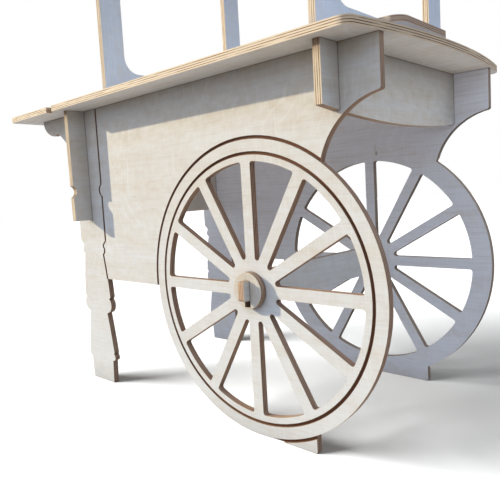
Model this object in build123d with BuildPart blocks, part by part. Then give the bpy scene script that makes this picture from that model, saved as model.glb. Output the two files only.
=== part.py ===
from build123d import *

import os
from math import atan, cos, degrees, radians, sin, sqrt

# Candy cart: a display cart that slots together from birch plywood, with fixed cut-out wheels.
# Frame: origin on the floor under the middle of the counter, X along the cart towards the wheel end,
# Y towards the far side, Z up. Every size is in millimetres.

# Board and joints
BOARD = 18.0
SHELF_BOARD = 15.0
CANOPY_BOARD = 12.0
PLAY = 0.2
SEAT_GAP = 0.1

# Counter
COUNTER_LENGTH = 1436.0
COUNTER_DEPTH = 789.0
COUNTER_TOP = 918.0
COUNTER_WHEEL_BOW = 37.0
COUNTER_LEG_BOW = 18.0
COUNTER_WHEEL_CORNER = 26.0
COUNTER_LEG_CORNER = 14.0
EDGE_NOTCH_X = -424.0
EDGE_NOTCH_WIDTH = 33.0
EDGE_NOTCH_DEPTH = 17.0

# Side panels
BODY_WIDTH = 600.0
BODY_END_X = 692.5
BODY_END_LOW = 792.0
BODY_CORNER = 6.0
BODY_LOW = 352.0
SCOOP_RADIUS = 175.4
SCOOP_CENTRE = (714.1, 618.2)
SCOOP_MIDDLE_ANGLE = 130.0
CORBEL_END = (-644.5, 889.0)
CORBEL_LOBE = (-612.5, 853.0)
CORBEL_CUSP = (-551.5, 849.0)
CORBEL_COVE = (-512.5, 824.0)
CORBEL_FOOT_Z = 735.0
TAB_LENGTH = 70.0
TAB_X = (-105.0, 415.0)

# Leg: half width and height of each point of its turned outline, from the counter down to the floor
LEG_X = -379.5
LEG_HALF = 75.0
LEG_OUTLINE = (
    ("plain block", None, (LEG_HALF, 660.0)),
    ("ring groove", (63.0, 641.0), (LEG_HALF, 622.0)),
    ("plain block", None, (LEG_HALF, 478.0)),
    ("slope under the block", None, (60.0, 464.0)),
    ("neck", None, (60.0, 457.0)),
    ("small bead", (65.5, 447.0), (56.0, 433.0)),
    ("upper column", (68.0, 362.0), (75.5, 290.0)),
    ("step", None, (68.0, 284.0)),
    ("large bead", (78.0, 264.0), (63.0, 239.0)),
    ("step", None, (51.0, 235.0)),
    ("lower column", (63.0, 172.0), (74.0, 105.0)),
    ("step", None, (71.0, 97.0)),
    ("ankle bead", (77.0, 88.0), (63.0, 76.0)),
    ("foot", None, (59.0, 0.0)),
)

# Wheel: its rim just touches the floor, and a foot stands beside the lowest point
HUB_X = 327.5
HUB_Z = 367.0
WHEEL_RADIUS = HUB_Z
OPENING_RADIUS = 314.5
SPOKES = 12
SPOKE_WIDTH = 30.0
OPENING_CORNER = 7.0
FOOT_LENGTH = 175.0
FOOT_HEIGHT = 60.0
FOOT_CORNER = 6.0
GROOVE_WIDTH = 8.0
GROOVE_DEPTH = 4.0
RIM_GROOVE_RADIUS = 330.0

# Cross panels, with ears outside the side panels
EAR = 62.0
LEG_END_X = LEG_X - BOARD / 2
LEG_END_LOW = 546.0
LEG_END_HALVING = 723.0
WHEEL_END_X = 581.5
WHEEL_END_LOW = 747.5
WHEEL_END_EAR_LOW = 772.0
WHEEL_END_HALVING = 828.0
RING_GROOVE_DEPTH = 12.0

# Axle board and the locking discs on its tenons
AXLE_LOW = 328.0
AXLE_TOP = 412.0
TENON_LOW = 346.0
TENON_TOP = 394.0
TENON_OUT = 40.0
TENON_CORNER = 5.0
DISC_RADIUS = 45.0
DISC_Z = 369.0
DISC_GAP = 0.3
DISC_EASED = 0.8
DISC_NOTCH_DEPTH = 14.0
DISC_SLOT_LOW = 328.0

# End frames
LEFT_FRAME_X = -238.0
RIGHT_FRAME_X = 538.0
FRAME_WIDTH = 617.0
UPRIGHT_WIDTH = 76.5
WINDOW_LOW = 1002.0
WINDOW_TOP = 1700.0
WINDOW_CORNER = 50.0
FRAME_TENON_WIDTH = 40.0
FRAME_TENON_Y = 260.0

# Riser shelf, through the bottom rails of both end frames
SHELF_WIDTH = 272.0
SHELF_LOW = 960.0
SHELF_OUT = 98.5
SHELF_CORNER = 40.0

# Canopy
PEAK_Z = 1920.0
ROOF_SLOPE = 0.4
ROOF_HALF = 376.0
ROOF_OUT = 95.0
ROOF_TAB_LENGTH = 60.0
ROOF_TAB_ALONG = 150.0
ARM_HALF = 352.0
ARM_LOW = 1740.0
ARM_ROOT_LOW = 1700.0
VALANCE_Y = 330.0
VALANCE_TOP = 1784.0
VALANCE_LOW = 1712.0
VALANCE_HALVING = 1757.0
GABLE_HALVING = 1748.0
GABLE_INSET = 16.0
CANOPY_END_INSET = 7.0
SCALLOP_DROP = 26.0
VALANCE_SCALLOPS = 11
GABLE_SCALLOPS = 8
RIDGE_LOW = 1845.0
RIDGE_TOP = 1914.0
RIDGE_HALVING = 1880.0

# Worked out from the driving sizes
SLOT = BOARD + 2 * PLAY
THIN_SLOT = CANOPY_BOARD + 2 * PLAY
COUNTER_LOW = COUNTER_TOP - BOARD
PANEL_TOP = COUNTER_LOW - SEAT_GAP
PANEL_Y = BODY_WIDTH / 2
PANEL_MID_Y = PANEL_Y - BOARD / 2
FRAME_Y = FRAME_WIDTH / 2
CANOPY_START = LEFT_FRAME_X - ROOF_OUT
CANOPY_END = RIGHT_FRAME_X + BOARD + ROOF_OUT
ROOF_ANGLE = atan(ROOF_SLOPE)
FRAME_MIDDLES = (LEFT_FRAME_X + BOARD / 2, RIGHT_FRAME_X + BOARD / 2)
GABLE_OFFSET = GABLE_INSET + CANOPY_BOARD / 2
GABLE_MIDDLES = (CANOPY_START + GABLE_OFFSET, CANOPY_END - GABLE_OFFSET)


def finish(builder, name):
    """Name a finished piece and write it out."""
    builder.part.label = name
    export_step(builder.part, f"parts/{name}.step")


def cut_rect(left, right, low, high):
    """Cut a rectangle, given by its four sides, from the sketch being drawn."""
    with Locations(((left + right) / 2, (low + high) / 2)):
        Rectangle(right - left, high - low, mode=Mode.SUBTRACT)


def add_rect(left, right, low, high):
    """Add a rectangle, given by its four sides, to the sketch being drawn."""
    with Locations(((left + right) / 2, (low + high) / 2)):
        Rectangle(right - left, high - low)


def leg_side(side, shift=0.0):
    """Draw one side of the leg's turned outline, moved outwards by shift, and return its two ends."""
    def at(point):
        return (LEG_X + side * (point[0] + shift), point[1])

    top = (LEG_HALF, PANEL_TOP)
    start = top
    for _, middle, end in LEG_OUTLINE:
        if middle is None:
            Line(at(start), at(end))
        else:
            ThreePointArc(at(start), at(middle), at(end))
        start = end
    return at(top), at(start)


def scallops(start, end, height, count):
    """Draw a row of hanging scallops along a lower edge, from start to end."""
    step = (end - start) / count
    for number in range(count):
        left = start + number * step
        ThreePointArc((left, height), (left + step / 2, height - SCALLOP_DROP), (left + step, height))


def roof_z(y):
    """Height of the roof's underside at a distance y from the ridge."""
    return PEAK_Z - ROOF_SLOPE * abs(y)


os.makedirs("parts", exist_ok=True)

# One wheel opening, drawn along +X from the hub, between two parallel-sided spokes
half_step = radians(180 / SPOKES)
opening_apex = SPOKE_WIDTH / 2 / sin(half_step)
side_length = sqrt(OPENING_RADIUS**2 - (SPOKE_WIDTH / 2) ** 2)
opening_end_x = side_length * cos(half_step) + SPOKE_WIDTH / 2 * sin(half_step)
opening_end_y = side_length * sin(half_step) - SPOKE_WIDTH / 2 * cos(half_step)
with BuildSketch() as wheel_opening:
    with BuildLine():
        Line((opening_apex, 0), (opening_end_x, opening_end_y))
        ThreePointArc((opening_end_x, opening_end_y), (OPENING_RADIUS, 0), (opening_end_x, -opening_end_y))
        Line((opening_end_x, -opening_end_y), (opening_apex, 0))
    make_face()
    fillet(wheel_opening.vertices(), OPENING_CORNER)

# The foot that the wheel stands on, from the rim's lowest point outwards
with BuildSketch() as wheel_foot:
    add_rect(HUB_X, HUB_X + FOOT_LENGTH, 0, FOOT_HEIGHT)
    fillet(wheel_foot.vertices().group_by(Axis.Y)[0].sort_by(Axis.X)[-1], FOOT_CORNER)

# Body of a side panel: corbel at the leg end, scoop at the wheel end
scoop_x, scoop_z = SCOOP_CENTRE
scoop_start = (scoop_x - SCOOP_RADIUS, scoop_z)
scoop_middle = (
    scoop_x + SCOOP_RADIUS * cos(radians(SCOOP_MIDDLE_ANGLE)),
    scoop_z + SCOOP_RADIUS * sin(radians(SCOOP_MIDDLE_ANGLE)),
)
with BuildSketch() as body_side:
    with BuildLine():
        Line((BODY_END_X, PANEL_TOP), (CORBEL_END[0], PANEL_TOP))
        Line((CORBEL_END[0], PANEL_TOP), CORBEL_END)
        ThreePointArc(CORBEL_END, CORBEL_LOBE, CORBEL_CUSP)
        ThreePointArc(CORBEL_CUSP, CORBEL_COVE, (LEG_X - LEG_HALF, CORBEL_FOOT_Z))
        Polyline(
            (LEG_X - LEG_HALF, CORBEL_FOOT_Z),
            (LEG_X, CORBEL_FOOT_Z),
            (LEG_X, BODY_LOW),
            (HUB_X, BODY_LOW),
            scoop_start,
        )
        ThreePointArc(scoop_start, scoop_middle, (BODY_END_X, BODY_END_LOW))
        Line((BODY_END_X, BODY_END_LOW), (BODY_END_X, PANEL_TOP))
    make_face()
    fillet(body_side.vertices().sort_by(Axis.X)[-2:].sort_by(Axis.Y)[0], BODY_CORNER)

with BuildSketch() as leg_face:
    with BuildLine():
        left_top, left_foot = leg_side(-1)
        right_top, right_foot = leg_side(1)
        Line(left_top, right_top)
        Line(left_foot, right_foot)
    make_face()

# The leg's outline carries on up the body as an engraved line
with BuildSketch() as leg_line:
    with BuildLine():
        inner_top, inner_foot = leg_side(1, -GROOVE_WIDTH / 2)
        outer_top, outer_foot = leg_side(1, GROOVE_WIDTH / 2)
        Line(inner_top, outer_top)
        Line(inner_foot, outer_foot)
    make_face()
    with Locations((LEG_X + LEG_HALF, (BODY_LOW + PANEL_TOP) / 2)):
        Rectangle(LEG_HALF, PANEL_TOP - BODY_LOW, mode=Mode.INTERSECT)

# Side panels: body, leg, wheel and foot are one board
with BuildPart() as side_panel_near:
    with BuildSketch(Plane.XZ.offset(PANEL_Y - BOARD)):
        add(body_side.sketch)
        add(leg_face.sketch)
        add(wheel_foot.sketch)
        with Locations((HUB_X, HUB_Z)):
            Circle(WHEEL_RADIUS)
        with Locations((HUB_X, HUB_Z)):
            with PolarLocations(0, SPOKES, start_angle=degrees(half_step)):
                add(wheel_opening.sketch, mode=Mode.SUBTRACT)
        for tab_x in TAB_X:
            add_rect(tab_x - TAB_LENGTH / 2, tab_x + TAB_LENGTH / 2, PANEL_TOP, COUNTER_TOP - PLAY)
        cut_rect(LEG_END_X - PLAY, LEG_END_X + BOARD + PLAY, LEG_END_HALVING - PLAY, PANEL_TOP)
        cut_rect(WHEEL_END_X - PLAY, WHEEL_END_X + BOARD + PLAY, WHEEL_END_HALVING - PLAY, PANEL_TOP)
        cut_rect(HUB_X - SLOT / 2, HUB_X + SLOT / 2, TENON_LOW - PLAY, TENON_TOP + PLAY)
    extrude(amount=BOARD)
    with BuildSketch(Plane.XZ.offset(PANEL_Y)):
        for radius in (WHEEL_RADIUS, RIM_GROOVE_RADIUS):
            with Locations((HUB_X, HUB_Z)):
                Circle(radius + GROOVE_WIDTH)
                Circle(radius, mode=Mode.SUBTRACT)
        add(leg_line.sketch)
    extrude(amount=-GROOVE_DEPTH, mode=Mode.SUBTRACT)
finish(side_panel_near, "side_panel_near")

with BuildPart() as side_panel_far:
    mirror(side_panel_near.part, about=Plane.XZ)
finish(side_panel_far, "side_panel_far")

# Cross panel at the leg end: its ears repeat the ring groove of the leg
ear_y = PANEL_Y + EAR
ring_top = LEG_OUTLINE[0][2][1]
ring_middle = LEG_OUTLINE[1][1][1]
ring_low = LEG_OUTLINE[1][2][1]
with BuildPart() as leg_end_panel:
    with BuildSketch(Plane.YZ.offset(LEG_END_X)):
        with BuildLine():
            for side in (-1, 1):
                Line((side * ear_y, PANEL_TOP), (side * ear_y, ring_top))
                ThreePointArc(
                    (side * ear_y, ring_top),
                    (side * (ear_y - RING_GROOVE_DEPTH), ring_middle),
                    (side * ear_y, ring_low),
                )
                Line((side * ear_y, ring_low), (side * ear_y, LEG_END_LOW))
            Line((-ear_y, PANEL_TOP), (ear_y, PANEL_TOP))
            Line((-ear_y, LEG_END_LOW), (ear_y, LEG_END_LOW))
        make_face()
        for side in (-1, 1):
            mid_y = side * PANEL_MID_Y
            cut_rect(mid_y - SLOT / 2, mid_y + SLOT / 2, LEG_END_LOW, LEG_END_HALVING + PLAY)
    extrude(amount=BOARD)
finish(leg_end_panel, "leg_end_panel")

# Cross panel at the wheel end: its lower edge is one shallow curve
with BuildPart() as wheel_end_panel:
    with BuildSketch(Plane.YZ.offset(WHEEL_END_X)):
        with BuildLine():
            ThreePointArc((-ear_y, WHEEL_END_EAR_LOW), (0, WHEEL_END_LOW), (ear_y, WHEEL_END_EAR_LOW))
            Polyline(
                (ear_y, WHEEL_END_EAR_LOW),
                (ear_y, PANEL_TOP),
                (-ear_y, PANEL_TOP),
                (-ear_y, WHEEL_END_EAR_LOW),
            )
        make_face()
        for side in (-1, 1):
            mid_y = side * PANEL_MID_Y
            cut_rect(mid_y - SLOT / 2, mid_y + SLOT / 2, WHEEL_END_LOW, WHEEL_END_HALVING + PLAY)
    extrude(amount=BOARD)
finish(wheel_end_panel, "wheel_end_panel")

# Axle board: its tenons pass through the panels, and a notch in each holds a locking disc
tenon_end = PANEL_Y + TENON_OUT
shoulder = PANEL_Y - BOARD - PLAY
notch_out = PANEL_Y + 2 * DISC_GAP + BOARD
with BuildPart() as axle_board:
    with BuildSketch(Plane.YZ.offset(HUB_X - BOARD / 2)) as axle_face:
        add_rect(-tenon_end, tenon_end, TENON_LOW, TENON_TOP)
        fillet(axle_face.vertices(), TENON_CORNER)
        add_rect(-shoulder, shoulder, AXLE_LOW, AXLE_TOP)
        cut_rect(PANEL_Y, notch_out, TENON_TOP - DISC_NOTCH_DEPTH, TENON_TOP)
        cut_rect(-notch_out, -PANEL_Y, TENON_TOP - DISC_NOTCH_DEPTH, TENON_TOP)
    extrude(amount=BOARD)
finish(axle_board, "axle_board")

# Locking discs: each hangs in the notch of its tenon and lifts out of it
with BuildPart() as hub_disc_near:
    with BuildSketch(Plane.XZ.offset(PANEL_Y + DISC_GAP)):
        with Locations((HUB_X, DISC_Z)):
            Circle(DISC_RADIUS)
        cut_rect(HUB_X - SLOT / 2, HUB_X + SLOT / 2, DISC_SLOT_LOW, TENON_TOP - DISC_NOTCH_DEPTH + SEAT_GAP)
    extrude(amount=BOARD)
    chamfer(hub_disc_near.edges().filter_by(GeomType.CIRCLE), DISC_EASED)
finish(hub_disc_near, "hub_disc_near")

with BuildPart() as hub_disc_far:
    mirror(hub_disc_near.part, about=Plane.XZ)
finish(hub_disc_far, "hub_disc_far")

# Counter: slots for the panels' tabs and for the tenons of the end frames
wheel_end = COUNTER_LENGTH / 2
leg_end = -COUNTER_LENGTH / 2
half_depth = COUNTER_DEPTH / 2
wheel_corner = wheel_end - COUNTER_WHEEL_BOW
leg_corner = leg_end + COUNTER_LEG_BOW
with BuildPart() as counter_top:
    with BuildSketch(Plane.XY.offset(COUNTER_LOW)) as counter_face:
        with BuildLine():
            Line((leg_corner, -half_depth), (wheel_corner, -half_depth))
            ThreePointArc((wheel_corner, -half_depth), (wheel_end, 0), (wheel_corner, half_depth))
            Line((wheel_corner, half_depth), (leg_corner, half_depth))
            ThreePointArc((leg_corner, half_depth), (leg_end, 0), (leg_corner, -half_depth))
        make_face()
        fillet(counter_face.vertices().sort_by(Axis.X)[2:], COUNTER_WHEEL_CORNER)
        fillet(counter_face.vertices().sort_by(Axis.X)[:2], COUNTER_LEG_CORNER)
        for side in (-1, 1):
            with Locations((EDGE_NOTCH_X, side * half_depth)):
                Rectangle(EDGE_NOTCH_WIDTH, 2 * EDGE_NOTCH_DEPTH, mode=Mode.SUBTRACT)
            for tab_x in TAB_X:
                with Locations((tab_x, side * PANEL_MID_Y)):
                    Rectangle(TAB_LENGTH + 2 * PLAY, SLOT, mode=Mode.SUBTRACT)
            for frame_x in FRAME_MIDDLES:
                with Locations((frame_x, side * FRAME_TENON_Y)):
                    Rectangle(SLOT, FRAME_TENON_WIDTH + 2 * PLAY, mode=Mode.SUBTRACT)
    extrude(amount=BOARD)
finish(counter_top, "counter_top")

# End frames: bottom rail with the shelf's slot, two uprights, and a gable with arms for the valances
window_width = FRAME_WIDTH - 2 * UPRIGHT_WIDTH
frame_low = COUNTER_TOP + SEAT_GAP
with BuildSketch() as frame_face:
    with BuildLine():
        for side in (-1, 1):
            Line((side * FRAME_Y, frame_low), (side * FRAME_Y, ARM_ROOT_LOW))
            RadiusArc(
                (side * FRAME_Y, ARM_ROOT_LOW), (side * ARM_HALF, ARM_LOW), side * (ARM_HALF - FRAME_Y)
            )
            Line((side * ARM_HALF, ARM_LOW), (side * ARM_HALF, roof_z(ARM_HALF)))
            Line((side * ARM_HALF, roof_z(ARM_HALF)), (0, PEAK_Z))
        Line((-FRAME_Y, frame_low), (FRAME_Y, frame_low))
    make_face()
    with Locations((0, (WINDOW_LOW + WINDOW_TOP) / 2)):
        RectangleRounded(window_width, WINDOW_TOP - WINDOW_LOW, WINDOW_CORNER, mode=Mode.SUBTRACT)
    shelf_y = SHELF_WIDTH / 2 + PLAY
    cut_rect(-shelf_y, shelf_y, SHELF_LOW - PLAY, SHELF_LOW + SHELF_BOARD + PLAY)
    cut_rect(-SLOT / 2, SLOT / 2, RIDGE_HALVING - PLAY, PEAK_Z)
    for side in (-1, 1):
        slot_y = side * VALANCE_Y
        cut_rect(slot_y - THIN_SLOT / 2, slot_y + THIN_SLOT / 2, VALANCE_HALVING - PLAY, PEAK_Z)
        tenon_y = side * FRAME_TENON_Y
        tenon_half = FRAME_TENON_WIDTH / 2
        add_rect(tenon_y - tenon_half, tenon_y + tenon_half, COUNTER_LOW + PLAY, frame_low)
        with Locations(Location((0, PEAK_Z), -side * degrees(ROOF_ANGLE))):
            with Locations((side * ROOF_TAB_ALONG, 0)):
                Rectangle(ROOF_TAB_LENGTH, 2 * (CANOPY_BOARD - PLAY))

for name, frame_x in (("end_frame_left", LEFT_FRAME_X), ("end_frame_right", RIGHT_FRAME_X)):
    with BuildPart() as end_frame:
        with BuildSketch(Plane.YZ.offset(frame_x)):
            add(frame_face.sketch)
        extrude(amount=BOARD)
    finish(end_frame, name)

# Riser shelf: one board that slides in endways
with BuildPart() as riser_shelf:
    with BuildSketch(Plane.XY.offset(SHELF_LOW)):
        shelf_start = LEFT_FRAME_X - SHELF_OUT
        shelf_end = RIGHT_FRAME_X + BOARD + SHELF_OUT
        with Locations(((shelf_start + shelf_end) / 2, 0)):
            RectangleRounded(shelf_end - shelf_start, SHELF_WIDTH, SHELF_CORNER)
    extrude(amount=SHELF_BOARD)
finish(riser_shelf, "riser_shelf")

# Ridge beam: halved over the end frames and the gable boards
beam_start = CANOPY_START + CANOPY_END_INSET
beam_end = CANOPY_END - CANOPY_END_INSET
with BuildPart() as ridge_beam:
    with BuildSketch(Plane.XZ.offset(-BOARD / 2)):
        add_rect(beam_start, beam_end, RIDGE_LOW, RIDGE_TOP)
        for frame_x in FRAME_MIDDLES:
            cut_rect(frame_x - SLOT / 2, frame_x + SLOT / 2, RIDGE_LOW, RIDGE_HALVING + PLAY)
        for gable_x in GABLE_MIDDLES:
            cut_rect(gable_x - THIN_SLOT / 2, gable_x + THIN_SLOT / 2, RIDGE_LOW, RIDGE_HALVING + PLAY)
    extrude(amount=BOARD)
finish(ridge_beam, "ridge_beam")

# Valances: scalloped boards along the eaves, halved over the arms of the end frames
with BuildPart() as valance_near:
    with BuildSketch(Plane.XZ.offset(VALANCE_Y - CANOPY_BOARD / 2)):
        with BuildLine():
            scallops(beam_start, beam_end, VALANCE_LOW, VALANCE_SCALLOPS)
            Polyline(
                (beam_end, VALANCE_LOW),
                (beam_end, VALANCE_TOP),
                (beam_start, VALANCE_TOP),
                (beam_start, VALANCE_LOW),
            )
        make_face()
        for frame_x in FRAME_MIDDLES:
            low = VALANCE_LOW - SCALLOP_DROP
            cut_rect(frame_x - SLOT / 2, frame_x + SLOT / 2, low, VALANCE_HALVING + PLAY)
        for gable_x in GABLE_MIDDLES:
            cut_rect(gable_x - THIN_SLOT / 2, gable_x + THIN_SLOT / 2, GABLE_HALVING - PLAY, VALANCE_TOP)
    extrude(amount=CANOPY_BOARD)
finish(valance_near, "valance_near")

with BuildPart() as valance_far:
    mirror(valance_near.part, about=Plane.XZ)
finish(valance_far, "valance_far")

# Gable boards: scalloped boards at the two ends of the roof
with BuildSketch() as gable_face:
    with BuildLine():
        scallops(-ARM_HALF, ARM_HALF, VALANCE_LOW, GABLE_SCALLOPS)
        Polyline(
            (ARM_HALF, VALANCE_LOW),
            (ARM_HALF, roof_z(ARM_HALF)),
            (0, PEAK_Z),
            (-ARM_HALF, roof_z(ARM_HALF)),
            (-ARM_HALF, VALANCE_LOW),
        )
    make_face()
    cut_rect(-SLOT / 2, SLOT / 2, RIDGE_HALVING - PLAY, PEAK_Z)
    for side in (-1, 1):
        slot_y = side * VALANCE_Y
        low = VALANCE_LOW - SCALLOP_DROP
        cut_rect(slot_y - THIN_SLOT / 2, slot_y + THIN_SLOT / 2, low, GABLE_HALVING + PLAY)

for name, gable_x in zip(("gable_board_left", "gable_board_right"), GABLE_MIDDLES):
    with BuildPart() as gable_board:
        with BuildSketch(Plane.YZ.offset(gable_x - CANOPY_BOARD / 2)):
            add(gable_face.sketch)
        extrude(amount=CANOPY_BOARD)
    finish(gable_board, name)

# Roof boards: each lifts off the tabs of the end frames, square to its slope
rise = CANOPY_BOARD / cos(ROOF_ANGLE)
with BuildPart() as roof_board_far:
    with BuildSketch(Plane.YZ.offset(CANOPY_START)):
        with BuildLine():
            Polyline(
                (PLAY, roof_z(PLAY) + PLAY),
                (ROOF_HALF, roof_z(ROOF_HALF) + PLAY),
                (
                    ROOF_HALF + CANOPY_BOARD * sin(ROOF_ANGLE),
                    roof_z(ROOF_HALF) + PLAY + CANOPY_BOARD * cos(ROOF_ANGLE),
                ),
                (PLAY, roof_z(PLAY) + PLAY + rise),
                close=True,
            )
        make_face()
    extrude(amount=CANOPY_END - CANOPY_START)
    slope = Plane((0, 0, PEAK_Z), x_dir=(1, 0, 0), z_dir=(0, sin(ROOF_ANGLE), cos(ROOF_ANGLE)))
    with BuildSketch(slope):
        for frame_x in FRAME_MIDDLES:
            with Locations((frame_x, ROOF_TAB_ALONG)):
                Rectangle(SLOT, ROOF_TAB_LENGTH + 2 * PLAY)
    extrude(amount=2 * CANOPY_BOARD, mode=Mode.SUBTRACT)
finish(roof_board_far, "roof_board_far")

with BuildPart() as roof_board_near:
    mirror(roof_board_far.part, about=Plane.XZ)
finish(roof_board_near, "roof_board_near")
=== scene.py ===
# %% [markdown]
# # A candy cart of slotted plywood
# The cart is cut from flat birch boards that slot into each other, and every board is already a CAD node.
# So this lesson adds no shapes: it gives each board the finish of the real one, a white wash on the faces
# and bare layers on the cut edges, and then sets the light, the floor and the camera.

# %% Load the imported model
from math import pi, radians

import bpy
from mathutils import Euler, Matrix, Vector

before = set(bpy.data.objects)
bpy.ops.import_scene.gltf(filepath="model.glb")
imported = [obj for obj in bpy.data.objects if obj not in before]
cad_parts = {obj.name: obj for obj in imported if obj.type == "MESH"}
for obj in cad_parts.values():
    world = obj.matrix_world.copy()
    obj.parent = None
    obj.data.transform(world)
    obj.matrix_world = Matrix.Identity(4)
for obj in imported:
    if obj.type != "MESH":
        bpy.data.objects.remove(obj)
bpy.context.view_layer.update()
MM = 0.001

# %% [markdown]
# ## The camera
# The photograph was taken from beside the wheel end, a little below the counter, so the counter's underside
# shows. A camera could be pointed at a target, but the photograph is also turned a little about the line of
# sight, so three turning angles are clearer. The small shift moves the picture without turning the camera.

# %% Place the camera
CAMERA_AT_MM = (1218.5, -1270.7, 610.0)
CAMERA_TURN_DEG = (84.786, 3.415, 43.876)
CAMERA_LENS_MM = 39.07
CAMERA_SHIFT = (0.0325, -0.0168)

camera_data = bpy.data.cameras.new("camera")
camera_data.lens = CAMERA_LENS_MM
camera_data.sensor_width = 36
camera_data.shift_x, camera_data.shift_y = CAMERA_SHIFT
camera = bpy.data.objects.new("camera", camera_data)
camera.location = Vector(CAMERA_AT_MM) * MM
camera.rotation_euler = Euler([radians(angle) for angle in CAMERA_TURN_DEG])
bpy.context.scene.collection.objects.link(camera)
bpy.context.scene.camera = camera
bpy.context.scene.view_settings.view_transform = "Standard"
print("camera at", [round(value, 3) for value in camera.location])

# %% [markdown]
# ## Colours and nodes
# Colours are written as the hex values that a paint chart gives, which are sRGB. Shaders work with linear
# light, so one function turns hex into linear values. A second one adds a node, sets its options, and links
# or fills its inputs, which keeps each material short enough to read as a recipe.

# %% Helpers for colours and nodes
def linear(hex_colour):
    """Turn an sRGB hex colour into linear red, green, blue and alpha."""
    values = [int(hex_colour[start:start + 2], 16) / 255 for start in (1, 3, 5)]
    return [v / 12.92 if v <= 0.04045 else ((v + 0.055) / 1.055) ** 2.4 for v in values] + [1.0]


def add_node(tree, kind, inputs=None, **options):
    """Add a node, set its options, and give each input a value or a link, then return its outputs."""
    made = tree.nodes.new(kind)
    for option, value in options.items():
        setattr(made, option, value)
    for socket, value in (inputs or {}).items():
        if isinstance(value, bpy.types.NodeSocket):
            tree.links.new(value, made.inputs[socket])
        else:
            made.inputs[socket].default_value = value
    return made.outputs


# Sockets of the colour mix node, which keeps its number and vector sockets at the same names
FACTOR, COLOUR_A, COLOUR_B, COLOUR_OUT = 0, 6, 7, 2
print("pure white in linear light:", linear("#FFFFFF"))

# %% [markdown]
# ## The board: birch plywood under a white wash
# Birch plywood is thin veneers glued with the grain crossed. A thinned white paint was brushed on its faces
# and wiped by hand, so the faces are matt and pale, with the grain showing as fine warm streaks where the
# wash is thin, and with faint pale arcs and cross strokes where the cloth went. The edges were cut after that
# and show bare layers. They are cream where a sanding block reached them from the cart's sides, and duller or
# scorched brown elsewhere. The brown is partly painted shade, on edges turned from the sides and on edges close
# under other boards. The engraved lines go through the white face into brown glue and wood. Beside the cut
# corners the wash is rubbed off. The inner corners are painted darker as shade, and the joints hold a thin
# line of painted shade and dust.
#
# A picture of wood could be wrapped round each board, but then its edges would need pictures too. Here the
# pattern is worked out from each point's place in the board: along the grain, across it, and how deep it is
# between the two faces. The same recipe then serves every board, whichever way it lies.

# %% Sizes and colours of the plywood
BAND_LENGTH_MM = 900      # broad bands of the peeled veneer
BAND_WIDTH_MM = 60
STREAK_LENGTH_MM = 180    # grain lines; birch grain is finer, and is drawn coarser so that it shows
STREAK_WIDTH_MM = 7
FIBRE_LENGTH_MM = 70
FIBRE_WIDTH_MM = 2.4
SMUDGE_LENGTH_MM = 130    # thicker and thinner spots in the wash
SMUDGE_WIDTH_MM = 55
DAB_LENGTH_MM = 34        # small dabs that the cloth left
DAB_WIDTH_MM = 20
STROKE_LENGTH_MM = 60     # the cloth's strokes across the grain; a weave is finer, and wouldn't show
STROKE_WIDTH_MM = 5
WIPE_PITCH_MM = 38        # the cloth's arcs lie side by side
WIPE_REACH_MM = 400       # one arc to and fro
WIPE_SWING_MM = 40
WIPE_PATCH_MM = 120
LAYERS = 7                # 18 mm birch has 13 layers; fewer are drawn so that they show
LAYER_PATCH_MM = 90
VOID_MM = 22
WORN_MM = 2.5             # how far the wash is rubbed off beside a cut corner
CORNER_REACH_MM = 80      # near another board, faces get painted shade and edges a darker tone that is partly painted shade
JOINT_SHADE_MM = 5        # how far the dark line reaches out of a joint; drawn wide enough to show

WARM_WASH = "#E4E2DD"
# The cool wash is painted sky light: the blue that the end frames' shaded faces take from the open sky
SKY_TINTED_WASH = "#DFE4EB"
WASH_THIN = "#D7CBB9"
WASH_BARE = "#CBC0AC"
WASH_WIPED = "#F3F0EA"
WORN_BIRCH = "#DDBE9A"
GRAIN_STREAK = "#B9A68F"
KNOT = "#8F7352"
CREAM = ("#EBD5B6", "#866443")
PEACH = ("#C9A888", "#94735A")
DULL = ("#D0BFAD", "#AF9881")
BROWN = ("#B89C82", "#5F4331")
STRIPED = ("#DCC09C", "#4A2F20")
SCORCHED = ("#AC8D73", "#583C2A")
# The far side panel's scorched edges, greyer as painted shade, since that panel stands in shade
SHADED_SCORCHED = ("#9C8873", "#5C4C3D")
LAYER_VOID = "#4B3524"
GROOVE_FLOOR = "#653A20"
JOINT_SHADE = "#4F4036"
X, Y, Z = Vector((1, 0, 0)), Vector((0, 1, 0)), Vector((0, 0, 1))


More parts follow.
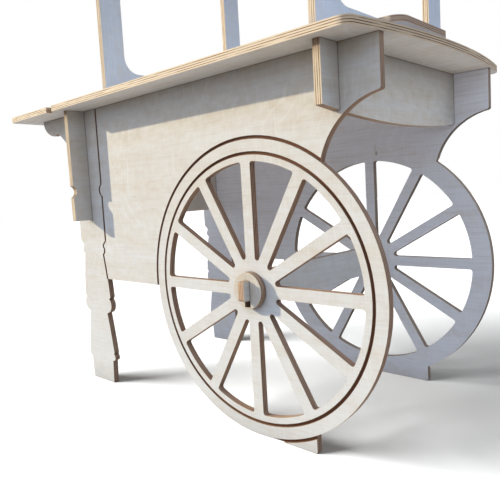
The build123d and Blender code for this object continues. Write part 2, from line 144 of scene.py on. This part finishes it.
def whitewashed_plywood(board, thickness_axis, grain_axis, wash_and_painted_light, grain, sanded_or_lit_tone, cut_or_shaded_tone, seed):
    """Make the plywood of one board, square to thickness_axis, with its grain along grain_axis."""
    corners = [vertex.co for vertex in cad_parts[board].data.vertices]
    depths = [corner.dot(thickness_axis) for corner in corners]
    heights = [corner.dot(Z) for corner in corners]
    material = bpy.data.materials.new("whitewashed_birch_plywood_" + board)
    material.use_nodes = True
    tree = material.node_tree
    tree.nodes.clear()

    def calculate(operation, *numbers):
        """One sum on up to three numbers."""
        return add_node(tree, "ShaderNodeMath", dict(enumerate(numbers)), operation=operation)[0]

    def measure(vector, direction):
        """How far a vector reaches along a direction."""
        return add_node(tree, "ShaderNodeVectorMath", {0: vector, 1: direction}, operation="DOT_PRODUCT")["Value"]

    def step(value, low, high):
        """0 below low, 1 above high, and a soft step between them."""
        return add_node(tree, "ShaderNodeMapRange", {0: value, 1: low, 2: high}, interpolation_type="SMOOTHSTEP")[0]

    def mix(factor, first, second):
        """Blend two colours."""
        inputs = {FACTOR: factor, COLOUR_A: first, COLOUR_B: second}
        return add_node(tree, "ShaderNodeMix", inputs, data_type="RGBA")[COLOUR_OUT]

    def cloud(length_mm, width_mm, slice_number, detail=3.0):
        """Cloudy noise whose patches have this length along the grain and this width across it."""
        scaled = [calculate("DIVIDE", along, length_mm * MM), calculate("DIVIDE", across, width_mm * MM)]
        point = add_node(tree, "ShaderNodeCombineXYZ", {0: scaled[0], 1: scaled[1], 2: slice_number})[0]
        return add_node(tree, "ShaderNodeTexNoise", {"Vector": point, "Scale": 1.0, "Detail": detail})[0]

    # Where the point is: along and across the grain in metres, and its depth from face to face as 0 to 1
    place = add_node(tree, "ShaderNodeTexCoord")
    across_axis = thickness_axis.cross(grain_axis)
    along = measure(place["Object"], grain_axis)
    across = measure(place["Object"], across_axis)
    through = measure(place["Object"], thickness_axis)
    depth = add_node(tree, "ShaderNodeMapRange", {0: through, 1: min(depths), 2: max(depths)})[0]
    side = calculate("MULTIPLY_ADD", depth, 4.0, seed)

    # A knot pushes the grain lines apart, so the place across the grain is stretched round it
    cores = []
    for middle_mm, half_length_mm, half_width_mm, darkness in KNOTS_MM.get(board, []):
        middle = Vector(middle_mm) * MM
        beyond = calculate("SUBTRACT", across, middle.dot(across_axis))
        ahead = calculate("SUBTRACT", along, middle.dot(grain_axis))
        scaled = {0: calculate("DIVIDE", ahead, half_length_mm * MM), 1: calculate("DIVIDE", beyond, half_width_mm * MM)}
        offset = add_node(tree, "ShaderNodeCombineXYZ", scaled)[0]
        distance = add_node(tree, "ShaderNodeVectorMath", {0: offset}, operation="LENGTH")["Value"]
        push = calculate("MULTIPLY", step(distance, 4.0, 0.5), -0.7)
        across = calculate("MULTIPLY_ADD", beyond, push, across)
        cores.append(calculate("MULTIPLY", step(distance, 1.1, 0.5), darkness))

    # The face: the veneer's bands and grain lines under a wash that is thinner in some places
    bands = cloud(BAND_LENGTH_MM, BAND_WIDTH_MM, side)
    streaks = cloud(STREAK_LENGTH_MM, STREAK_WIDTH_MM, side)
    fibres = cloud(FIBRE_LENGTH_MM, FIBRE_WIDTH_MM, side)
    smudges = cloud(SMUDGE_LENGTH_MM, SMUDGE_WIDTH_MM, side)
    dabs = cloud(DAB_LENGTH_MM, DAB_WIDTH_MM, side)
    strokes = cloud(STROKE_WIDTH_MM, STROKE_LENGTH_MM, side)
    height = measure(place["Object"], Z)
    # The wash is thinner towards one end; on the side panels this is painted light, cooler low down on the near one
    # and lighter at the shaded top of the far one
    bare_and_painted_light = add_node(tree, "ShaderNodeMapRange", {0: height, 1: min(heights), 2: max(heights), 3: wash_and_painted_light[1], 4: wash_and_painted_light[2]})[0]
    for pattern, share in ((bands, 0.40), (smudges, 0.26), (dabs, 0.34)):
        bare_and_painted_light = calculate("MULTIPLY_ADD", pattern, share, bare_and_painted_light)
    face = mix(step(bare_and_painted_light, 0.32, 0.78), linear(wash_and_painted_light[0]), linear(WASH_THIN))
    face = mix(step(bare_and_painted_light, 0.56, 0.96), face, linear(WASH_BARE))
    shows = {0: height, 1: min(heights), 2: max(heights), 3: 0.11, 4: 0.11 * grain}
    grain_share = add_node(tree, "ShaderNodeMapRange", shows)[0]
    face = mix(calculate("MULTIPLY", step(streaks, 0.46, 0.72), grain_share), face, linear(GRAIN_STREAK))
    face = mix(calculate("MULTIPLY", step(fibres, 0.48, 0.76), 0.22), face, linear(GRAIN_STREAK))
    for core in cores:
        face = mix(core, face, linear(KNOT))

    # The cloth's marks: the long boards were wiped in arcs, which show in patches, the short ones in strokes
    arc_share, stroke_share = (0.05, 0.14) if grain_axis == Y else (0.20, 0.18)
    swing = calculate("SINE", calculate("MULTIPLY", across, 2 * pi / (WIPE_REACH_MM * MM)))
    wander = calculate("MULTIPLY", cloud(WIPE_PATCH_MM, WIPE_PATCH_MM, side, 1.0), WIPE_PATCH_MM * MM)
    swept = calculate("ADD", calculate("MULTIPLY_ADD", swing, WIPE_SWING_MM * MM, along), wander)
    arcs = calculate("SINE", calculate("MULTIPLY", swept, 2 * pi / (WIPE_PITCH_MM * MM)))
    wiped = step(cloud(WIPE_PATCH_MM, WIPE_PATCH_MM, calculate("ADD", side, 40.0), 3.0), 0.46, 0.66)
    arcs = calculate("MULTIPLY", calculate("MULTIPLY", step(arcs, 0.55, 1.0), wiped), arc_share)
    marks = calculate("MULTIPLY_ADD", step(strokes, 0.45, 0.75), stroke_share, arcs)
    face = mix(marks, face, linear(WASH_WIPED))

    # The edge: layers that differ from place to place, with a void here and there, cream at the cart's sides
    level = calculate("MULTIPLY", depth, float(LAYERS))
    ripple = calculate("SINE", calculate("MULTIPLY", level, -pi))
    layer_seed = calculate("MULTIPLY_ADD", calculate("FLOOR", level), 7.3, seed)
    patches = cloud(LAYER_PATCH_MM, LAYER_PATCH_MM, layer_seed)
    end_grain = calculate("MULTIPLY", step(ripple, 0.2, 0.8), step(patches, 0.28, 0.58))
    # Both tones are partly painted light: the pale one looks like a sunlit edge, the darker one like an edge in
    # shade
    sanded_or_lit_edge = mix(end_grain, linear(sanded_or_lit_tone[0]), linear(sanded_or_lit_tone[1]))
    cut_or_shaded_edge = mix(end_grain, linear(cut_or_shaded_tone[0]), linear(cut_or_shaded_tone[1]))
    side_on = calculate("ABSOLUTE", measure(place["Normal"], Y))
    # How open each point is within CORNER_REACH_MM; this sets the painted corner shade and the darker edge tone
    reach = {"Distance": CORNER_REACH_MM * MM}
    corner_openness = add_node(tree, "ShaderNodeAmbientOcclusion", reach, samples=8)["AO"]
    # Pale on edges facing the cart's sides away from other boards; the darker tone begins where a rounded edge
    # turns out of the sun, and under other boards, as painted shade
    sanded_or_lit = calculate("MULTIPLY", step(side_on, 0.88, 0.98), step(corner_openness, 0.72, 0.92))
    edge = mix(sanded_or_lit, cut_or_shaded_edge, sanded_or_lit_edge)
    voids = step(cloud(VOID_MM, VOID_MM, layer_seed, 1.0), 0.70, 0.74)
    edge = mix(calculate("MULTIPLY", voids, end_grain), edge, linear(LAYER_VOID))

    # Which of them shows: a face looks along the thickness, and an engraved floor is a face below the surface
    facing = calculate("ABSOLUTE", measure(place["Normal"], thickness_axis))
    is_face = calculate("GREATER_THAN", facing, 0.7)
    from_middle = calculate("ABSOLUTE", calculate("SUBTRACT", depth, 0.5))
    is_groove = calculate("MULTIPLY", is_face, calculate("LESS_THAN", from_middle, 0.45))
    colour = mix(is_groove, mix(is_face, edge, face), linear(GROOVE_FLOOR))

    # Painted shade darkens the inner corners, such as a panel's top under the counter
    corner_shade = calculate("MULTIPLY", calculate("SUBTRACT", 1.0, corner_openness), 0.38)
    colour = mix(corner_shade, colour, linear(JOINT_SHADE))

    # Beside a cut corner the wash is rubbed off: there a rounded normal leans away from the flat one
    rounded = add_node(tree, "ShaderNodeBevel", {"Radius": WORN_MM * MM}, samples=4)[0]
    flat = add_node(tree, "ShaderNodeNewGeometry")["True Normal"]
    worn = calculate("MULTIPLY", step(measure(rounded, flat), 0.99, 0.85), 0.55)
    colour = mix(calculate("MULTIPLY", worn, is_face), colour, linear(WORN_BIRCH))

    # Joints between boards hold shade and dust in a thin line
    openness = add_node(tree, "ShaderNodeAmbientOcclusion", {"Distance": JOINT_SHADE_MM * MM}, samples=8)["AO"]
    joint = calculate("MULTIPLY", calculate("SUBTRACT", 1.0, step(openness, 0.40, 0.85)), 0.65)
    colour = mix(joint, colour, linear(JOINT_SHADE))

    # The wash is matt, and a little rougher in the grain; the bump is the grain's raised fibres
    roughness = add_node(tree, "ShaderNodeMapRange", {0: streaks, 1: 0.3, 2: 0.7, 3: 0.56, 4: 0.74})[0]
    relief = add_node(tree, "ShaderNodeBump", {"Strength": 0.2, "Distance": 0.3 * MM, "Height": fibres})[0]
    inputs = {"Base Color": colour, "Roughness": roughness, "Normal": relief, "Specular IOR Level": 0.2}
    shader = add_node(tree, "ShaderNodeBsdfPrincipled", inputs)
    add_node(tree, "ShaderNodeOutputMaterial", {"Surface": shader[0]})
    return material


print("plywood layers drawn:", LAYERS)

# %% [markdown]
# ## Which way each board lies
# A joiner marks the grain on every board before cutting. The table does the same: the first axis is the
# board's thickness and the second its grain, which runs along the board's length. The wash comes next, with
# its colour and how thin it is at the board's lower and upper end. Part of this is painted light: the near
# side panel is whiter and cooler low down and warmer at the top, the far one is lighter at its shaded top,
# the end frames are painted cool for the sky light on them, and the hub discs and roof boards are painted
# darker as shade. The number says how much more the grain shows at the upper end than at the lower one. The
# last two entries are the tones of the edges, where they were sanded and where they weren't; the pale one
# also stands for sunlit edges and the second one partly for painted shade. A second table has the knots:
# the middle, then half the length and width, and how dark the middle is.

# %% Give every board its plywood
ROOF_SLOPE = 0.4
EVEN = (WARM_WASH, 0.05, 0.05)
# The end frames' thick cool wash, painted sky light
THICK_SKY_TINTED = (SKY_TINTED_WASH, -0.10, -0.10)
# A thin, darker wash as painted shade: the hub discs stand in shade, and the roof boards' sunlit tops would burn
# out
THIN_WITH_PAINTED_SHADE = (WARM_WASH, 0.20, 0.20)
BOARD_LIES = {
    "side_panel_near": (Y, X, (WARM_WASH, -0.13, 0.11), 1.0, CREAM, SCORCHED),
    "side_panel_far": (Y, X, (WARM_WASH, -0.04, -0.14), 2.5, CREAM, SHADED_SCORCHED),
    "leg_end_panel": (X, Y, EVEN, 1.0, CREAM, BROWN),
    "wheel_end_panel": (X, Y, EVEN, 1.0, CREAM, BROWN),
    "axle_board": (X, Y, EVEN, 1.0, PEACH, BROWN),
    "hub_disc_near": (Y, X, THIN_WITH_PAINTED_SHADE, 1.0, CREAM, BROWN),
    "hub_disc_far": (Y, X, THIN_WITH_PAINTED_SHADE, 1.0, CREAM, BROWN),
    "counter_top": (Z, X, (WARM_WASH, 0.0, 0.0), 1.0, CREAM, STRIPED),
    "end_frame_left": (X, Z, THICK_SKY_TINTED, 1.0, CREAM, DULL),
    "end_frame_right": (X, Z, THICK_SKY_TINTED, 1.0, CREAM, DULL),
    "riser_shelf": (Z, X, EVEN, 1.0, CREAM, BROWN),
    "ridge_beam": (Y, X, EVEN, 1.0, CREAM, DULL),
    "valance_near": (Y, X, EVEN, 1.0, CREAM, DULL),
    "valance_far": (Y, X, EVEN, 1.0, CREAM, DULL),
    "gable_board_left": (X, Y, EVEN, 1.0, CREAM, DULL),
    "gable_board_right": (X, Y, EVEN, 1.0, CREAM, DULL),
    "roof_board_near": (Vector((0, -ROOF_SLOPE, 1)).normalized(), X, THIN_WITH_PAINTED_SHADE, 1.0, CREAM, DULL),
    "roof_board_far": (Vector((0, ROOF_SLOPE, 1)).normalized(), X, THIN_WITH_PAINTED_SHADE, 1.0, CREAM, DULL),
}
KNOTS_MM = {
    "side_panel_near": [((-132, -300, 614), 16, 5, 0.12)],
    "side_panel_far": [((354, 282, 704), 5, 9, 0.6), ((350, 282, 718), 1.5, 16, 0.5)],
    "counter_top": [((-430, 120, 918), 12, 6, 0.5), ((150, -300, 918), 9, 5, 0.5)],
    "roof_board_near": [((-40, -200, 1850), 13, 6, 0.5)],
    "roof_board_far": [((420, 260, 1830), 10, 6, 0.5)],
}
for number, (board, recipe) in enumerate(BOARD_LIES.items()):
    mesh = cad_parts[board].data
    mesh.materials.clear()
    mesh.materials.append(whitewashed_plywood(board, *recipe, 9.1 * number))
print("boards finished:", len(BOARD_LIES), "of", len(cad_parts))

# %% [markdown]
# ## Floor and light
# The cart stands on a white floor in low light from the leg end. One lamp makes the crisp shade on the cart,
# and the backdrop stands for a pale blue sky that fills that shade. Weak broad lamps stand for the light that
# comes back from below and from the front, and three small ones do the same for the far side panel, the
# shelf's underside and the wheel end. The floor has a broad lamp of its own, so that its shadow is soft.
#
# The sky would tint that shadow blue, so the floor is painted in the opposite tint and the two make a plain
# grey. The camera sees this paint and a white backdrop. Other rays see a black floor and the sky.

# %% Floor
FLOOR_HALF_M = 20.0
FLOOR_PAINT = "#A79C8C"

floor_mesh = bpy.data.meshes.new("floor")
corners = [(-1, -1), (1, -1), (1, 1), (-1, 1)]
floor_mesh.from_pydata([(x * FLOOR_HALF_M, y * FLOOR_HALF_M, -0.2 * MM) for x, y in corners], [], [(0, 1, 2, 3)])
floor = bpy.data.objects.new("floor", floor_mesh)
bpy.context.scene.collection.objects.link(floor)
paint = bpy.data.materials.new("matt_floor_paint")
paint.use_nodes = True
tree = paint.node_tree
tree.nodes.clear()
ray = add_node(tree, "ShaderNodeLightPath")
mirrored = {0: ray["Is Glossy Ray"], 1: ray["Is Transmission Ray"]}
mirrored = add_node(tree, "ShaderNodeMath", mirrored, operation="MAXIMUM")[0]
seen = add_node(tree, "ShaderNodeMath", {0: ray["Is Camera Ray"], 1: mirrored}, operation="MAXIMUM")[0]
shades = {FACTOR: seen, COLOUR_A: linear("#000000"), COLOUR_B: linear(FLOOR_PAINT)}
colour = add_node(tree, "ShaderNodeMix", shades, data_type="RGBA")[COLOUR_OUT]
matt = add_node(tree, "ShaderNodeBsdfDiffuse", {"Color": colour})
add_node(tree, "ShaderNodeOutputMaterial", {"Surface": matt[0]})
floor_mesh.materials.append(paint)
print("floor", 2 * FLOOR_HALF_M, "m across")

# %% [markdown]
# The lamps are suns, because a sun keeps its level over the whole cart. Each one lights only the pieces it is
# given. The boards that stand across the cart and the canopy face the light squarely, so they have a sun of
# their own that comes more from the side, and don't burn out to white. Lamps whose groups of pieces overlap
# can lose light when the renderer picks between them, so the glow is two lamps as well, one for each group.

# %% Lamps
SUN_TRAVEL, SUN_LEVEL = Vector((1.95, 1.0, -0.93)), 4.0
CROSS_SUN_TRAVEL, CROSS_SUN_LEVEL = Vector((0.85, 1.0, -0.45)), 2.3
SUN_COLOUR, SUN_WIDTH_DEG = "#FFF3D6", 1.0
GLOW_TRAVEL = Vector((0.0, 0.001, 1.0))
GLOW_COLOUR, GLOW_LEVEL, GLOW_WIDTH_DEG = "#FFFBFC", 1.27, 60.0
FRONT_TRAVEL, FRONT_LEVEL, FRONT_WIDTH_DEG = Vector((0.0, 1.0, -0.65)), 0.3, 36.0
FRONT_COLOUR = "#DEE4F8"
FAR_FILL_TRAVEL, FAR_FILL_LEVEL = Vector((-0.4, 1.0, -0.2)), 0.82
SHELF_FILL_LEVEL = 0.9
END_FILL_TRAVEL, END_FILL_LEVEL, END_FILL_COLOUR = Vector((-0.65, -0.75, -0.2)), 1.0, "#ECEDEC"
FILL_COLOUR, FILL_WIDTH_DEG = "#D8DFFA", 60.0
FLOOR_TRAVEL, FLOOR_LEVEL = Vector((1.2, 1.0, -0.59)), 35.0
FLOOR_COLOUR, FLOOR_WIDTH_DEG = "#D6E6FF", 40.0


def collect(name, pieces):
    """Put pieces in a group that a lamp can be linked to."""
    group = bpy.data.collections.new(name)
    for piece in pieces:
        group.objects.link(piece)
    return group


def add_sun(name, travel, colour, level, width_deg, lit, blockers=None):
    """Add a distant lamp that shines along travel, lights one group, and is shaded by one group or by all."""
    data = bpy.data.lights.new(name, "SUN")
    data.energy = level
    data.angle = radians(width_deg)
    data.color = linear(colour)[:3]
    data.cycles.use_multiple_importance_sampling = False
    lamp = bpy.data.objects.new(name, data)
    lamp.rotation_euler = travel.to_track_quat("-Z", "Y").to_euler()
    bpy.context.scene.collection.objects.link(lamp)
    lamp.light_linking.receiver_collection = lit
    if blockers:
        lamp.light_linking.blocker_collection = blockers


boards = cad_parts
long_names = [name for name in boards if name.startswith(("side_panel", "counter", "axle", "hub_disc", "riser"))]
every_board = collect("every_board", boards.values())
long_boards = collect("long_boards", [boards[name] for name in long_names])
cross_boards = collect("cross_boards", [boards[name] for name in boards if name not in long_names])
far_side = collect("far_side", [boards["side_panel_far"]])
shelf = collect("shelf", [boards["riser_shelf"]])
wheel_end = collect("wheel_end", [boards["wheel_end_panel"]])

add_sun("sun_lamp", SUN_TRAVEL, SUN_COLOUR, SUN_LEVEL, SUN_WIDTH_DEG, long_boards)
add_sun("cross_sun_lamp", CROSS_SUN_TRAVEL, SUN_COLOUR, CROSS_SUN_LEVEL, SUN_WIDTH_DEG, cross_boards)
glow = (GLOW_TRAVEL, GLOW_COLOUR, GLOW_LEVEL, GLOW_WIDTH_DEG)
add_sun("glow_lamp", *glow, long_boards, every_board)
add_sun("cross_glow_lamp", *glow, cross_boards, every_board)
add_sun("front_lamp", FRONT_TRAVEL, FRONT_COLOUR, FRONT_LEVEL, FRONT_WIDTH_DEG, long_boards)
add_sun("far_fill_lamp", FAR_FILL_TRAVEL, FILL_COLOUR, FAR_FILL_LEVEL, FILL_WIDTH_DEG, far_side, far_side)
add_sun("shelf_fill_lamp", GLOW_TRAVEL, FILL_COLOUR, SHELF_FILL_LEVEL, GLOW_WIDTH_DEG, shelf, shelf)
add_sun("end_fill_lamp", END_FILL_TRAVEL, END_FILL_COLOUR, END_FILL_LEVEL, FILL_WIDTH_DEG, wheel_end)
add_sun("floor_lamp", FLOOR_TRAVEL, FLOOR_COLOUR, FLOOR_LEVEL, FLOOR_WIDTH_DEG, collect("floors", [floor]))

# %% Backdrop
SKY_LOW_COLOUR, SKY_LOW = "#DAE7FC", 1.2
SKY_HIGH_COLOUR, SKY_HIGH = "#CADEFF", 0.95

backdrop = bpy.data.worlds.new("backdrop")
bpy.context.scene.world = backdrop
backdrop.use_nodes = True
tree = backdrop.node_tree
tree.nodes.clear()
direction = add_node(tree, "ShaderNodeTexCoord")["Generated"]
upward = add_node(tree, "ShaderNodeSeparateXYZ", {0: direction})["Z"]
level = add_node(tree, "ShaderNodeMapRange", {0: upward, 1: 0.0, 2: 1.0, 3: SKY_LOW, 4: SKY_HIGH})[0]
ray = add_node(tree, "ShaderNodeLightPath")
mirrored = {0: ray["Is Glossy Ray"], 1: ray["Is Transmission Ray"]}
mirrored = add_node(tree, "ShaderNodeMath", mirrored, operation="MAXIMUM")[0]
seen = add_node(tree, "ShaderNodeMath", {0: ray["Is Camera Ray"], 1: mirrored}, operation="MAXIMUM")[0]
tints = {FACTOR: upward, COLOUR_A: linear(SKY_LOW_COLOUR), COLOUR_B: linear(SKY_HIGH_COLOUR)}
tint = add_node(tree, "ShaderNodeMix", tints, data_type="RGBA")[COLOUR_OUT]
sky = add_node(tree, "ShaderNodeBackground", {"Color": tint, "Strength": level})
white = add_node(tree, "ShaderNodeBackground", {"Color": linear("#FFFFFF"), "Strength": 1.0})
shown = add_node(tree, "ShaderNodeMixShader", {0: seen, 1: sky[0], 2: white[0]})
add_node(tree, "ShaderNodeOutputWorld", {"Surface": shown[0]})
print("sky level", SKY_LOW, "at the horizon and", SKY_HIGH, "overhead")
